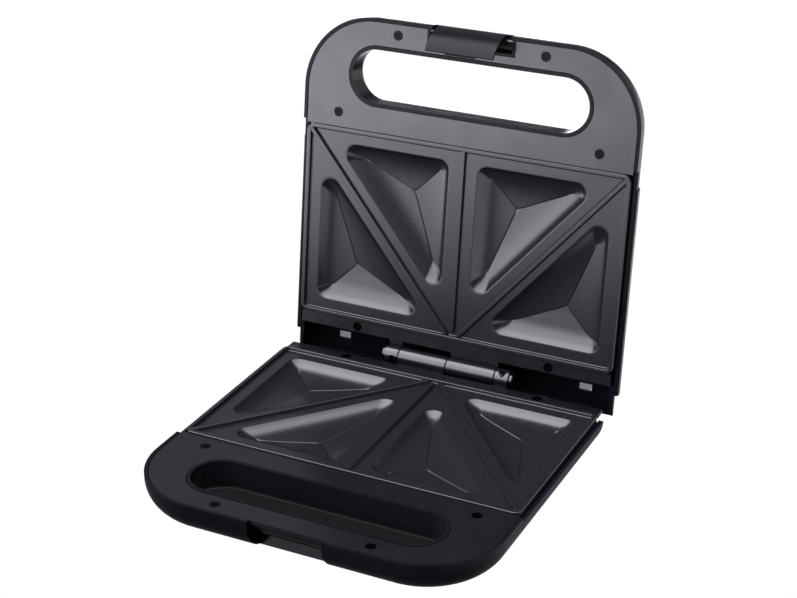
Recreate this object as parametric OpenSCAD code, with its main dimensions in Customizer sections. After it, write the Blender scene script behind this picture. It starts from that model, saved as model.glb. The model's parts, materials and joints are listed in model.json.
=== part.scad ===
// Sandwich toaster: two pillow shaped halves hinged at the back, each with a
// non-stick plate of four triangular pockets, a handle opening at the front
// and a latch on the lid. The toaster stands open on its four feet.

/* [Body] */
// Width of each half across its side walls
body_w = 226.6; // [226:0.2:236]
// Distance from the front of the plates to the front of the shells
nose_l = 73.2; // [72:0.2:79]
// Depth of each half from the parting plane to its flat outer face
half_depth = 23.9; // [23.5:0.1:28]
// Plan radius of the front corners
front_corner_r = 49; // [46:0.5:52]
// Radius that rounds the outer edges
edge_r = 20; // [18:0.5:20]
// Wall thickness of the shells
wall = 2.3; // [2:0.1:2.6]
// Gap between the parting plane and the front part of each rim
rim_gap = 1.2; // [0.8:0.1:1.4]
// Gap between the parting plane and the rim beside the plates
side_rim_gap = 3.9; // [3.9:0.1:4.6]

/* [Base rear] */
// Distance from the hinge axis forward to the rear ends of the side walls
side_end = 18.4; // [18:0.2:20]
// Distance from the hinge axis forward to the wall behind the plate
rear_wall_at = 9.4; // [9:0.1:9.8]
// Distance from the hinge axis back to the edge of the base
shelf_reach = 10.6; // [9:0.2:11]
// Drop from the parting plane to the rear shelf
shelf_drop = 15.6; // [15.2:0.1:16]
// Plan radius of the rear corners of the base
rear_corner_r = 30; // [25:0.5:34]
// Width of the raised housing on the rear shelf
housing_w = 120; // [100:1:126]
// Drop from the parting plane to the top of the raised housing
housing_drop = 10; // [9:0.2:11]

/* [Lid rear] */
// How far the lid's rear part is set in from its sides
lid_rear_inset = 2; // [1.6:0.1:3]
// Distance from the hinge axis forward to the square ends of the lid's sides
lid_side_end = 2.9; // [2:0.1:4]
// Distance from the hinge axis back to the end of the lid
lid_reach = 12.9; // [12.4:0.1:13]
// Radius of the lid's rear corners in the side view
lid_corner_r = 7; // [5:0.5:8]
// Height of the thick part of the lid's side walls beside the hinge
cheek_h = 5.9; // [4:0.1:8]
// Width of the opening in the lid's rear wall that clears the housing
rear_opening_w = 134; // [132:1:140]
// Height of the opening in the lid's rear wall
rear_opening_h = 15.5; // [15:0.1:16]
// Length of each steam slot behind the lid's plate
slot_l = 9; // [7:0.5:12]
// Width of each steam slot
slot_w = 5; // [4.5:0.5:6]
// Distance in from the sides to the middle of each steam slot
slot_in = 26.8; // [24:0.2:32]
// Thickness of the cover panel on the lid
panel_t = 0.9; // [0.7:0.1:1.2]

/* [Handle] */
// Length of each handle opening in the frame
handle_l = 165; // [150:1:168]
// Width of each handle opening in the frame
handle_w = 39.5; // [36:0.5:42]
// Distance from the front of the shells to the middle of the opening
handle_inset = 37; // [36.5:0.1:38]
// Radius that flares the handle opening at its outer face
flare_r = 11; // [9:0.5:12]

/* [Frames] */
// Thickness of each frame
frame_t = 2.4; // [2:0.1:2.6]
// Gap between the parting plane and the face of each frame
deck_gap = 1.5; // [1.3:0.1:1.8]
// Gap round each frame inside its shell, and round the handle sleeve
seam = 0.4; // [0.3:0.05:0.6]
// Width of the rails that carry each plate
rail_w = 8; // [6:0.5:9]
// Thickness of the rails
rail_t = 3.4; // [2.4:0.2:4]

/* [Plates] */
// Distance in from the outer faces of the side walls to each plate
plate_side = 3.3; // [3:0.1:5]
// Depth of each plate from back to front
plate_d = 127.6; // [126:0.2:128]
// Distance from the hinge axis forward to each plate
plate_back = 17.4; // [17.2:0.1:18]
// Gap between the parting plane and the raised rim of each plate
plate_gap = 0.5; // [0.4:0.1:1]
// Corner radius of each plate
plate_r = 5; // [4:0.5:7]
// Height of each plate's rim above its land
rim_h = 2.2; // [1.6:0.1:2.4]
// Width of the flat top of each plate's rim
rim_w = 2.6; // [2:0.1:3]
// How far the inner face of each plate's rim leans in
rim_slope = 0.8; // [0.4:0.1:1.6]
// Thickness of each plate
plate_t = 2.5; // [2.3:0.1:2.8]
// Width of each dividing ridge at its foot
ridge_w = 4; // [3:0.2:5]
// Depth of the pockets below the land, without the dip of their floors
pocket_depth = 5.8; // [4.5:0.1:6]
// How much deeper the floors are where their three facets meet
floor_dip = 1; // [0.4:0.1:1.2]
// How far down each pocket its rounded corners narrow to a crease
pocket_crease = 10; // [8:0.5:12]
// Corner radius of each pocket
pocket_r = 7; // [5:0.5:8]

/* [Hinge] */
// Angle at which the lid stands open
open_angle = 97.3; // [94:0.1:98]
// Outer radius of the hinge barrels
barrel_r = 6; // [5.4:0.1:6.4]
// Radius of the hinge pin
pin_r = 2.5; // [2:0.1:3]
// Radial clearance of a pin in the barrels that turn on it
pin_fit = 0.06; // [0.02:0.01:0.1]
// Half the length of the row of hinge barrels
hinge_half = 43.4; // [42:0.2:46]
// Length of each end barrel
knuckle_l = 9; // [8:0.5:10]
// Gap between neighbouring barrels
barrel_gap = 0.9; // [0.6:0.1:1.4]
// Radius of the boss that reaches from one half's barrel into the other's
boss_r = 4.2; // [3.8:0.1:4.4]
// Length of that boss beyond its own barrel
boss_l = 4.5; // [4:0.1:5]
// Radius of the round notch that shows the boss in the base's end barrel
notch_hole_r = 2.45; // [2:0.05:2.6]
// Distance from the hinge axis forward to the ledges of the hinge arms
ledge_at = 7.7; // [7:0.1:8.4]

/* [Latch] */
// Width of the latch
latch_w = 45; // [40:0.5:46]
// Thickness of the latch plate
latch_t = 1.6; // [1.4:0.1:1.8]
// Radius of the latch's curved outer face
latch_r = 26; // [25.4:0.2:26.6]
// Angle of the latch's free end below its level middle line
latch_end = 58; // [56:0.5:60]
// Gap between the latch and the notch that it closes over
latch_gap = 0.8; // [0.7:0.1:1]
// Radius of the latch pin
latch_pin_r = 1.2; // [1:0.1:1.3]
// Radius of the latch's own barrel
latch_barrel_r = 2.4; // [2.2:0.1:2.6]
// Width of the hook at the latch's free end
hook_w = 20; // [16:1:26]
// Reach of the hook inwards from the latch plate
hook_l = 2.2; // [1.8:0.1:2.6]

/* [Feet and fittings] */
// Height of each foot below the base
foot_h = 5.1; // [4:0.1:8]
// Radius of each foot
foot_r = 7; // [6:0.5:7.5]
// Radius of the frame screws' heads
head_r = 2.9; // [2.6:0.1:3]
// Radius of the screw shanks
shank_r = 1.5; // [1.4:0.1:1.6]
// Length of the frame screws' shanks
frame_screw_l = 9; // [8:0.5:10]
// Length of the plate screws' shanks above the heat shields
plate_screw_l = 7; // [6:0.5:8]
// Height of the plate screws' heads
plate_head_h = 1.7; // [1.4:0.1:1.8]
// Width of the cross slots in the frame screws' heads
cross_w = 0.7; // [0.5:0.1:0.9]
// Radius of the heater tubes
heater_r = 2.6; // [2.4:0.1:2.7]
// Thickness of the heat shields
shield_t = 0.6; // [0.5:0.1:0.8]
// Radius of the wires
wire_r = 1; // [0.8:0.1:1.1]
// Distance from the centre line to the middle terminal
terminal_x = 23; // [22:0.5:24]
// Distance between neighbouring terminals
terminal_pitch = 10; // [9:0.5:10]
// Distance from the hinge axis forward to the terminals
terminal_at = 13.2; // [13:0.1:13.4]
// Height of the terminal block
terminal_h = 7; // [6.4:0.1:7.2]
// Radius of the mains cord that the gland takes
cord_r = 2.6; // [2.4:0.1:2.8]
// Radius of the indicator lenses
lens_r = 3.6; // [3:0.1:4]

/* [Hidden] */
$fn = 96;
seat = 0.05;
past = 1;
screw_fit = 0.03;
floor_drop = half_depth + foot_h;
front_reach = plate_back + plate_d + nose_l;
// The origin lies on the floor under the middle of the open toaster, which
// reaches from the base's front to the back of the lid's handle.
lid_back = (edge_r - front_reach) * cos(open_angle) + (half_depth - edge_r) * sin(open_angle) + edge_r;
hinge_y = (front_reach - lid_back + 0.23) / 2;
half_w = body_w / 2;
behind = lid_reach + shelf_reach + edge_r;
plate_w = body_w - 2 * plate_side;
corner_x = half_w - front_corner_r;
corner_y = front_corner_r - front_reach;

// Levels of one half below the parting plane.
deck_top = -deck_gap;
deck_low = deck_top - frame_t;
land_z = -plate_gap - rim_h;
plate_low = land_z - plate_t;
rail_top = plate_low - seat;
rail_low = rail_top - rail_t;
bowl_low = plate_low - pocket_depth - floor_dip;
heater_z = bowl_low - seat - heater_r;
shield_top = heater_z - heater_r - 1;
shield_low = shield_top - shield_t;
inner_floor = wall - half_depth;

// Lines across one half, measured from the hinge axis.
plate_front = -plate_back - plate_d;
step_y = plate_front - 2.4;
frame_r = front_corner_r - wall - seam;
frame_x = half_w - wall - seam;
strip_x = half_w - 4.3;
rear_side_x = half_w - 8.3;
housing_back = 6.4;
stop_back = 8;
cheek_x = half_w - lid_rear_inset - wall - 0.8;
stop_x = half_w - 38.3;
stop_half = 5;
stop_top = (stop_back * cos(open_angle) - lid_reach) / sin(open_angle) - 0.3;
slot_x = half_w - slot_in;

// Handle opening: the sleeve belongs to the shell, the frame fits round it.
handle_y = handle_inset - front_reach;
handle_half = (handle_l - handle_w) / 2;
sleeve_r = handle_w / 2 - seam;
grip_r = sleeve_r - wall;
flare_x = grip_r + flare_r;
flare_z = flare_r - half_depth - 0.6;

// Ridges and pockets of a plate, for its right half.
ridge_from = [4.5, -plate_back - 4];
ridge_to = [plate_w / 2 - 3.5, plate_front + 4.1];
ridge_dir = unit(ridge_to - ridge_from);
ridge_side = [-ridge_dir.y, ridge_dir.x];
ridge_top = -plate_gap - 0.1;
front_land = 10.3;
back_land = 10.5;
side_land = 11;
centre_land = 9.8;
front_line = ridge_from - ridge_side * 8.4;
back_line = ridge_from + ridge_side * 6.8;
front_pocket = [
    [centre_land, plate_front + front_land],
    meet_y(front_line, ridge_dir, plate_front + front_land),
    meet_x(front_line, ridge_dir, centre_land)
];
back_pocket = [
    [plate_w / 2 - side_land, -plate_back - back_land],
    meet_y(back_line, ridge_dir, -plate_back - back_land),
    meet_x(back_line, ridge_dir, plate_w / 2 - side_land)
];
plate_screw_at = [
    for (side = [-1, 1]) each [
        [side * (plate_w / 2 - 50), -plate_back - 5.8],
        [side * (plate_w / 2 - 15), plate_front + 5]
    ]
];
plate_boss_r = 3.2;
heater_x = incentre(back_pocket).x;
heater_y = incentre(front_pocket).y;
heater_back = -plate_back - 13;
heater_bend = 14;

// Places of the frame screws and of the feet.
frame_screw_at = [
    for (side = [-1, 1]) each [
        [side * (half_w - 64), -front_reach + 9.3],
        [side * (plate_w / 2 - 21.5), plate_front - 9.9],
        [side * (half_w - 45.8), -(plate_back + rear_wall_at) / 2 + 0.3]
    ]
];
post_half = 3.2;
post_room = post_half + 2 * seam;
foot_front_at = [half_w - 27.3, plate_front - 2.6];
foot_rear_at = [stop_x, shelf_reach - rear_corner_r + 2.6];
foot_stem_r = 3;

// Latch: the curve's centre and the pivot, with the lid closed.
latch_centre = [-front_reach + latch_r - 0.4, 4.9];
latch_axis = [-front_reach + 3.6, 2.7];
latch_inner = latch_r - latch_t;
notch_r = latch_inner - latch_gap;
notch_half = latch_w / 2 + 1;
notch_top = deck_low - 0.4;
hook_from = latch_end - 3.6;
latch_box = [latch_w / 2 + 6.6, -front_reach + 12.4, latch_axis.y + 5.9];
latch_box_wall = 1.5;

// Hinge layout along X, from the left: lid, base, lid, base.
knuckle_in = hinge_half - knuckle_l;
barrel_out = knuckle_in - barrel_gap;
pin_head_r = 4.6;
pin_head_t = 1.7;
pin_head_gap = 0.5;
counterbore_r = boss_r + 0.3;
counterbore_x = barrel_out + boss_l + 0.4;
notch_at = [knuckle_in + 4.7, -2.5];
notch_l = 5.2;

// Cord gland and what holds the cord behind it.
gland_x = -40;
gland_z = inner_floor + 2.9;
gland_r = 3.9;
gland_face = 9;
gland_boss = 8;
clamp_low = gland_z + cord_r + 0.3;
clamp_t = 1.8;
clamp_y = -3;
clamp_screw_x = 6.6;
clamp_screw_r = 1;

// Indicators in the lid.
lens_x = 12;
lens_y = plate_front - 5.5;
lamp_r = 2.1;

// Thermostat, fuse and wires.
thermostat_y = -plate_back - 16;
disc_r = 8;
can_r = 6.6;
can_low = plate_low - seat - 6;
tab_low = can_low - 3;
tab_z = can_low - 1.5;
tab_x = 3;
fuse_r = 2.2;
fuse_z = plate_low - seat - fuse_r;
wire_y = -plate_back - 0.35;
wire_z = heater_z + 1.6;
terminal_half = 3.6;
terminal_side = 5;
terminal_top = inner_floor + terminal_h;
terminal_hole_r = 1.7;
terminal_bore_r = 1.5;
terminal_bore_z = inner_floor + 3;
wire_start = terminal_top + 0.2;
lamp_end = inner_floor + 9.65;
lamp_wire_z = plate_low - 4.7;

// ---------------------------------------------------------------- functions

function unit(v) = v / norm(v);
function meet_x(p, d, x) = [x, p.y + (x - p.x) * d.y / d.x];
function meet_y(p, d, y) = [p.x + (y - p.y) * d.x / d.y, y];
function side_len(t, i) = norm(t[(i + 2) % 3] - t[(i + 1) % 3]);
function around(t) = side_len(t, 0) + side_len(t, 1) + side_len(t, 2);
function incentre(t) =
    (t[0] * side_len(t, 0) + t[1] * side_len(t, 1) + t[2] * side_len(t, 2)) / around(t);
function inradius(t) =
    let (a = t[1] - t[0], b = t[2] - t[0]) abs(a.x * b.y - a.y * b.x) / around(t);

// The triangle moved in by d on all three sides.
function inset(t, d) =
    [for (p = t) incentre(t) + (p - incentre(t)) * (1 - d / inradius(t))];

// Arc of radius r that rounds the corner b between a and c.
function corner_arc(a, b, c, r, n) =
    let (u = unit(a - b), w = unit(c - b), half = acos(u * w) / 2)
    let (centre = b + unit(u + w) * r / sin(half), first = b + u * r / tan(half))
    let (from = atan2(first.y - centre.y, first.x - centre.x), turn = 180 - 2 * half)
    [for (i = [0:n]) centre + r * [cos(from + turn * i / n), sin(from + turn * i / n)]];

// Depth of a pocket below the land, where left is the share of the way from
// the rim to the middle that is still to go: steep at the rim, then flatter.
function pocket_fall(left) =
    floor_dip * (1 - left) + pocket_depth * (1 - (pow(left, 2.5) + pow(left, 9)) / 2);

// Outline, given anticlockwise, with every corner rounded.
function rounded(p, r, n = 6) =
    let (last = len(p) - 1)
    [for (i = [0:last]) each corner_arc(p[i == 0 ? last : i - 1], p[i], p[i == last ? 0 : i + 1], r, n)];

function box_outline(x, y0, y1) = [[-x, y0], [x, y0], [x, y1], [-x, y1]];

// Half the width inside a shell, at the level z.
function inner_x(z) =
    half_w - edge_r + sqrt(pow(edge_r - wall, 2) - pow(min(0, z + half_depth - edge_r), 2));

// Direction in the side view, a degrees below straight forward.
function ahead(a) = [-cos(a), -sin(a)];

// Path whose corners are softened over the distance d.
function softened(p, d, n = 4) =
    let (last = len(p) - 1)
    [
        p[0],
        for (i = [1:last - 1]) for (j = [0:n])
            let (t = j / n, a = p[i] + unit(p[i - 1] - p[i]) * d, b = p[i] + unit(p[i + 1] - p[i]) * d)
            a * (1 - t) * (1 - t) + p[i] * 2 * t * (1 - t) + b * t * t,
        p[last]
    ];

// ---------------------------------------------------------------- helpers

// Closed solid through rings of equal point count, from low to high. With a
// tip given, the lowest ring closes to that point.
module loft(rings, heights, tip = undef) {
    n = len(rings[0]);
    last = len(rings) - 1;
    body = [for (i = [0:last]) for (p = rings[i]) [p.x, p.y, heights[i]]];
    sides = [
        for (i = [0:last - 1]) for (j = [0:n - 1]) each
            let (k = (j + 1) % n)
            [[i * n + j, i * n + n + j, i * n + n + k], [i * n + j, i * n + n + k, i * n + k]]
    ];
    top = [[for (j = [n - 1:-1:0]) last * n + j]];
    flat = [[for (j = [0:n - 1]) j]];
    cone = [for (j = [0:n - 1]) [len(body), j, (j + 1) % n]];
    if (is_undef(tip)) polyhedron(body, concat(sides, top, flat));
    else polyhedron(concat(body, [tip]), concat(sides, top, cone));
}

// Round wire along a path of points.
module wire(path, r = wire_r, n = 8) {
    last = len(path) - 1;
    body = [
        for (i = [0:last])
            let (along = unit(path[min(i + 1, last)] - path[max(i - 1, 0)]))
            let (u = unit(cross(along, [0.31, 0.22, 0.93])), v = cross(along, u))
            for (j = [0:n - 1]) path[i] + r * (u * cos(360 * j / n) + v * sin(360 * j / n))
    ];
    sides = [
        for (i = [0:last - 1]) for (j = [0:n - 1]) each
            let (k = (j + 1) % n)
            [[i * n + j, i * n + n + j, i * n + n + k], [i * n + j, i * n + n + k, i * n + k]]
    ];
    ends = [[for (j = [0:n - 1]) j], [for (j = [n - 1:-1:0]) last * n + j]];
    polyhedron(body, concat(sides, ends));
}

// Places a piece of one half in the base, or in the open lid.
module on_base() {
    translate([0, hinge_y, floor_drop]) children();
}

module on_lid() {
    on_closed_lid() mirror([0, 0, 1]) children();
}

module on_closed_lid() {
    translate([0, hinge_y, floor_drop]) rotate([-open_angle, 0, 0]) children();
}

module both_sides() {
    children();
    mirror([1, 0, 0]) children();
}

module block(from, to) {
    translate(from) cube(to - from);
}

// Cylinder along X from x0 to x1.
module rod_x(x0, x1, y, z, r) {
    translate([x0, y, z]) rotate([0, 90, 0]) cylinder(r = r, h = x1 - x0);
}

// Cylinder along Y from y0 to y1.
module rod_y(x, y0, y1, z, r) {
    translate([x, y0, z]) rotate([-90, 0, 0]) cylinder(r = r, h = y1 - y0);
}

// Cylinder along Z from z0 to z1.
module rod_z(x, y, z0, z1, r) {
    translate([x, y, z0]) cylinder(r = r, h = z1 - z0);
}

// Side view outline drawn out along X, from -x to x.
module across(x) {
    translate([-x, 0, 0]) rotate([90, 0, 90]) linear_extrude(2 * x) children();
}

// ---------------------------------------------------------------- shells

// Section from 0 to reach with its low outer corner rounded.
module edge_section(reach, depth, r) {
    translate([0, -depth]) square([reach - r, depth]);
    translate([0, r - depth]) square([reach, depth - r]);
    intersection() {
        translate([reach - r, r - depth]) circle(r);
        translate([reach - r, -depth]) square(r);
    }
}

module full_section(reach, depth, r) {
    edge_section(reach, depth, r);
    mirror([1, 0]) edge_section(reach, depth, r);
}

// Length of a half with both of its sides rounded below.
module trough(w, y0, y1, depth, r) {
    translate([0, y1, 0]) rotate([90, 0, 0]) linear_extrude(y1 - y0) full_section(w, depth, r);
}

// Rounded front end of a half.
module front_end(w, front, depth, corner, r) {
    translate([0, corner - front, 0]) {
        translate([corner - w, 0, 0]) rotate([90, 0, 90]) linear_extrude(2 * (w - corner))
            mirror([1, 0]) edge_section(corner, depth, r);
        both_sides() translate([w - corner, 0, 0]) rotate([0, 0, -90])
            rotate_extrude(angle = 90) edge_section(corner, depth, r);
    }
}

// Rounded rear end of the base.
module rear_end(w, rear, depth, corner, r) {
    translate([0, rear - corner, 0]) {
        translate([corner - w, 0, 0]) rotate([90, 0, 90]) linear_extrude(2 * (w - corner))
            edge_section(corner, depth, r);
        both_sides() translate([w - corner, 0, 0])
            rotate_extrude(angle = 90) edge_section(corner, depth, r);
    }
}

module base_form(in) {
    front_end(half_w - in, front_reach - in, half_depth - in, front_corner_r - in, edge_r - in);
    trough(half_w - in, corner_y, shelf_reach - rear_corner_r, half_depth - in, edge_r - in);
    rear_end(half_w - in, shelf_reach - in, half_depth - in, rear_corner_r - in, edge_r - in);
}

module lid_form(in) {
    front_end(half_w - in, front_reach - in, half_depth - in, front_corner_r - in, edge_r - in);
    trough(half_w - in, corner_y, -lid_side_end - in, half_depth - in, edge_r - in);
    trough(half_w - lid_rear_inset - in, -lid_side_end - in, lid_reach - in, half_depth - in, edge_r - in);
}

// What is cut off above the rear shelf, with the walls moved in by in.
module above_shelf(in) {
    block([-half_w - past, -rear_wall_at - in, -shelf_drop - in], [half_w + past, behind, past]);
    both_sides() block([rear_side_x - in, -side_end - in, -shelf_drop - in], [half_w + past, behind, past]);
}

// Solid swept round the handle opening from a section that starts at the
// opening's middle line.
module round_handle() {
    translate([0, handle_y, 0]) {
        both_sides() translate([handle_half, 0, 0]) rotate([0, 0, -90])
            rotate_extrude(angle = 180) children();
        for (side = [0, 1]) mirror([0, side, 0])
            translate([-handle_half, 0, 0]) rotate([90, 0, 90])
                linear_extrude(2 * handle_half) children();
    }
}

// Section of the room that a hand reaches through, wider at the outer face.
module grip_section() {
    translate([0, flare_z]) square([grip_r, past - flare_z]);
    difference() {
        translate([0, -half_depth - past]) square([flare_x, flare_z + half_depth + past]);
        translate([flare_x, flare_z]) circle(flare_r);
    }
}

// Section of the same room with the sleeve round it.
module sleeve_section() {
    translate([0, flare_z]) square([grip_r + wall, past - flare_z]);
    difference() {
        translate([0, -half_depth - past]) square([flare_x, flare_z + half_depth + past]);
        translate([flare_x, flare_z]) circle(flare_r - wall);
    }
}

module screw_posts() {
    for (p = frame_screw_at)
        block([p.x - post_half, p.y - post_half, -half_depth], [p.x + post_half, p.y + post_half, past]);
}

// Everything above the rim of a half, and above its screw posts.
module above_rim() {
    block([-half_w - past, -front_reach - past, -rim_gap], [half_w + past, behind, half_depth]);
    block([-half_w - past, step_y, -side_rim_gap], [half_w + past, behind, half_depth]);
    for (p = frame_screw_at) {
        block(
            [p.x - post_half - past, p.y - post_half - past, deck_low - seat],
            [p.x + post_half + past, p.y + post_half + past, past]);
        rod_z(p.x, p.y, inner_floor + 4, past, shank_r + screw_fit);
    }
}

// Region in front of a curve about the latch's centre, between two angles.
module latch_sector(r, from, to) {
    difference() {
        translate(latch_centre)
            polygon([[0, 0], for (a = [from:(to - from) / 4:to]) 2 * latch_r * ahead(a)]);
        translate(latch_centre) circle(r);
    }
}

module base_shell() {
    color("#1b1b1d") on_base() difference() {
        union() {
            difference() {
                base_form(0);
                above_shelf(0);
            }
            block(
                [-housing_w / 2, -rear_wall_at - wall, -shelf_drop - wall / 2],
                [housing_w / 2, housing_back, -housing_drop]);
            block(
                [gland_x - gland_boss, -8, 0.3 - half_depth],
                [gland_x + gland_boss, gland_face, gland_z + 5.4]);
            both_sides()
                block(
                    [stop_x - stop_half, stop_back - 5, -shelf_drop - wall / 2],
                    [stop_x + stop_half, stop_back, stop_top]);
        }
        difference() {
            union() {
                difference() {
                    base_form(wall);
                    above_shelf(wall);
                }
                block(
                    [wall - housing_w / 2, -rear_wall_at - wall - past, -shelf_drop - 1.4],
                    [housing_w / 2 - wall, housing_back - wall, -housing_drop - wall]);
                block(
                    [wall - housing_w / 2, -rear_wall_at - wall - past, -shelf_drop - wall - past],
                    [housing_w / 2 - wall, -past, -shelf_drop]);
            }
            round_handle() sleeve_section();
            screw_posts();
            across(notch_half + wall) intersection() {
                latch_sector(notch_r - wall, -60, 90);
                translate([-front_reach, -half_depth]) square([latch_r, half_depth + notch_top]);
            }
            for (side = [-1, 1])
                rod_z(gland_x + side * clamp_screw_x, clamp_y, -half_depth, clamp_low - seat, 2);
        }
        rod_y(gland_x, -8, gland_face + past, gland_z, gland_r + screw_fit);
        above_rim();
        block([-half_w - past, -plate_back - past, deck_low - seat], [half_w + past, behind, half_depth]);
        block(
            [-plate_w / 2 - 0.3, -side_end - wall - past, plate_low - 0.3],
            [plate_w / 2 + 0.3, -plate_back + 0.3, past]);
        round_handle() grip_section();
        across(notch_half) latch_sector(notch_r, -60, latch_end + 9);
        across(notch_half) translate([-front_reach - past, notch_top]) square([wall + 4 + past, 10]);
        across(hook_w / 2 + 1) intersection() {
            latch_sector(notch_r - wall - past, hook_from - 4, latch_end + 2.5);
            translate([-front_reach, -half_depth + wall]) square([latch_r, half_depth]);
        }
        for (side = [-1, 1]) for (p = [foot_front_at, foot_rear_at])
            rod_z(side * p.x, p.y, -half_depth - past, past - half_depth + wall, foot_stem_r + screw_fit);
        for (side = [-1, 1])
            rod_z(gland_x + side * clamp_screw_x, clamp_y, inner_floor + 1, 0, clamp_screw_r + screw_fit);
    }
}

module lid_shell() {
    color("#1b1b1d") on_lid() difference() {
        lid_form(0);
        difference() {
            lid_form(wall);
            round_handle() sleeve_section();
            screw_posts();
            block(
                [-latch_box.x, -front_reach, -latch_box.z - latch_box_wall / 2],
                [latch_box.x, latch_box.y, past]);
            both_sides()
                block(
                    [cheek_x, 0.3 - rear_wall_at, -side_rim_gap - cheek_h],
                    [half_w, lid_reach - lid_corner_r * 1.6, past]);
        }
        above_rim();
        difference() {
            block(
                [-half_w - past, lid_reach - lid_corner_r, -side_rim_gap - lid_corner_r],
                [half_w + past, lid_reach + past, past]);
            rod_x(
                -half_w - 2, half_w + 2, lid_reach - lid_corner_r,
                -side_rim_gap - lid_corner_r, lid_corner_r);
        }
        round_handle() grip_section();
        block(
            [-latch_box.x + latch_box_wall, -front_reach + wall, -latch_box.z + latch_box_wall / 2],
            [latch_box.x - latch_box_wall, latch_box.y - latch_box_wall, past]);
        block(
            [-latch_w / 2 - 3.8, -front_reach - past, -latch_box.z + latch_box_wall / 2],
            [latch_w / 2 + 3.8, -front_reach + wall + past, past]);
        rod_x(-latch_box.x + 0.5, latch_box.x - 0.5, latch_axis.x, -latch_axis.y, latch_pin_r + screw_fit);
        block(
            [-rear_opening_w / 2, lid_reach - wall - past, -rear_opening_h],
            [rear_opening_w / 2, lid_reach + past, past]);
        both_sides()
            block(
                [slot_x - slot_l / 2, 0, -half_depth - past],
                [slot_x + slot_l / 2, slot_w, past - half_depth + wall]);
        for (side = [-1, 1])
            rod_z(side * lens_x, lens_y, -half_depth - past, past - half_depth + wall, lens_r + screw_fit);
    }
}

module lid_panel() {
    color("#3a3b3d") on_lid() translate([0, -lid_side_end - 0.1, 0]) rotate([90, 0, 0])
        linear_extrude(plate_d + 4.9) difference() {
            full_section(half_w + seat + panel_t, half_depth + seat + panel_t, edge_r + seat + panel_t);
            full_section(half_w + seat, half_depth + seat, edge_r + seat);
            translate([-half_w - 2, -side_rim_gap - 0.6]) square([2 * half_w + 4, 40]);
        }
}

// ---------------------------------------------------------------- frames

module handle_cutout() {
    translate([-handle_half, handle_y - handle_w / 2]) square([2 * handle_half, handle_w]);
    for (side = [-1, 1]) translate([side * handle_half, handle_y]) circle(handle_w / 2);
}

module deck_plan() {
    difference() {
        union() {
            translate([-corner_x, corner_y - frame_r]) square([2 * corner_x, frame_r]);
            translate([-frame_x, corner_y]) square([2 * frame_x, plate_front - seam - corner_y]);
            for (side = [-1, 1]) translate([side * corner_x, corner_y]) circle(frame_r);
        }
        handle_cutout();
        translate([-half_w, plate_front - seam]) square([2 * half_w, 2 * frame_r]);
    }
}

// Leg of one hinge arm, from its ledge on the rear strip to the pin.
module hinge_arm(x0, x1) {
    block([x0, -rear_wall_at - past, deck_low], [x1, -ledge_at, deck_top]);
    block([x0, seat - rear_wall_at, deck_low - 1.3], [x1, -barrel_r / 3, deck_low + 1.1]);
    rod_x(x0, x1, 0, 0, barrel_r);
}

// Arms of a half whose middle barrel is the left one. That barrel ends in a
// boss, and the end barrel takes the other half's boss.
module hinge_arms() {
    difference() {
        union() {
            hinge_arm(-barrel_out, -barrel_gap / 2);
            hinge_arm(knuckle_in, hinge_half);
        }
        rod_x(barrel_out, counterbore_x, 0, 0, counterbore_r);
    }
    rod_x(-barrel_out - boss_l, -barrel_out + past, 0, 0, boss_r);
}

module frame(flip, bore_r) {
    rail_x = min(inner_x(rail_low) - seam, frame_x);
    difference() {
        union() {
            translate([0, 0, deck_low]) linear_extrude(frame_t) deck_plan();
            block(
                [-rail_x, plate_front - seam - 2.6, rail_low],
                [rail_x, plate_front - seam, deck_low + 0.5]);
            both_sides() {
                block(
                    [rail_x - rail_w, plate_front - seam - 2.6, rail_low],
                    [rail_x, -side_end - wall - seam, rail_top]);
                block(
                    [rail_x - rail_w - 8, -side_end - wall - seam - 4.4, rail_low],
                    [rail_x, -side_end - wall - seam, rail_top]);
                block(
                    [rail_x - rail_w - 8, -side_end - wall - seam - 4.4, rail_low],
                    [rail_x - rail_w, seam + 2 - plate_back, rail_top]);
            }
            block(
                [rail_w - rail_x, seam - plate_back, rail_low],
                [rail_x - rail_w, seam + 2 - plate_back, deck_low + 0.5]);
            block([-strip_x, seam - plate_back, deck_low], [strip_x, -rear_wall_at, deck_top]);
            mirror([flip, 0, 0]) hinge_arms();
        }
        rod_x(-hinge_half - past, hinge_half + past, 0, 0, bore_r);
        for (p = frame_screw_at) {
            block(
                [p.x - post_room, p.y - post_room, rail_low - past],
                [p.x + post_room, p.y + post_room, deck_low]);
            rod_z(p.x, p.y, deck_low - past, deck_top + past, shank_r + 0.1);
            rod_z(p.x, p.y, deck_top - frame_t / 2, deck_top + past, head_r + 0.3);
        }
    }
}

module base_frame() {
    color("#2b2c30") on_base() difference() {
        frame(0, pin_r + screw_fit);
        rod_z(notch_at.x, notch_at.y, barrel_r - 2.6, barrel_r + past, notch_hole_r);
        block(
            [-notch_half - 0.5, -front_reach, deck_low - past],
            [notch_half + 0.5, -front_reach + 3.3, past]);
    }
}

module lid_frame() {
    color("#3c3d40") on_lid() difference() {
        frame(1, pin_r + pin_fit);
        block([-knuckle_in - notch_l, -barrel_r / 4, 0.2], [-barrel_out, barrel_r + past, barrel_r + past]);
        block(
            [-latch_box.x - seam, -front_reach, deck_low - past],
            [latch_box.x + seam, latch_box.y + seam, past]);
    }
}

// ---------------------------------------------------------------- plates

module rounded_box(x, y0, y1, r) {
    translate([-x, y0 + r]) square([2 * x, y1 - y0 - 2 * r]);
    translate([r - x, y0]) square([2 * (x - r), y1 - y0]);
    for (side = [-1, 1]) for (y = [y0 + r, y1 - r]) translate([side * (x - r), y]) circle(r);
}

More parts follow.
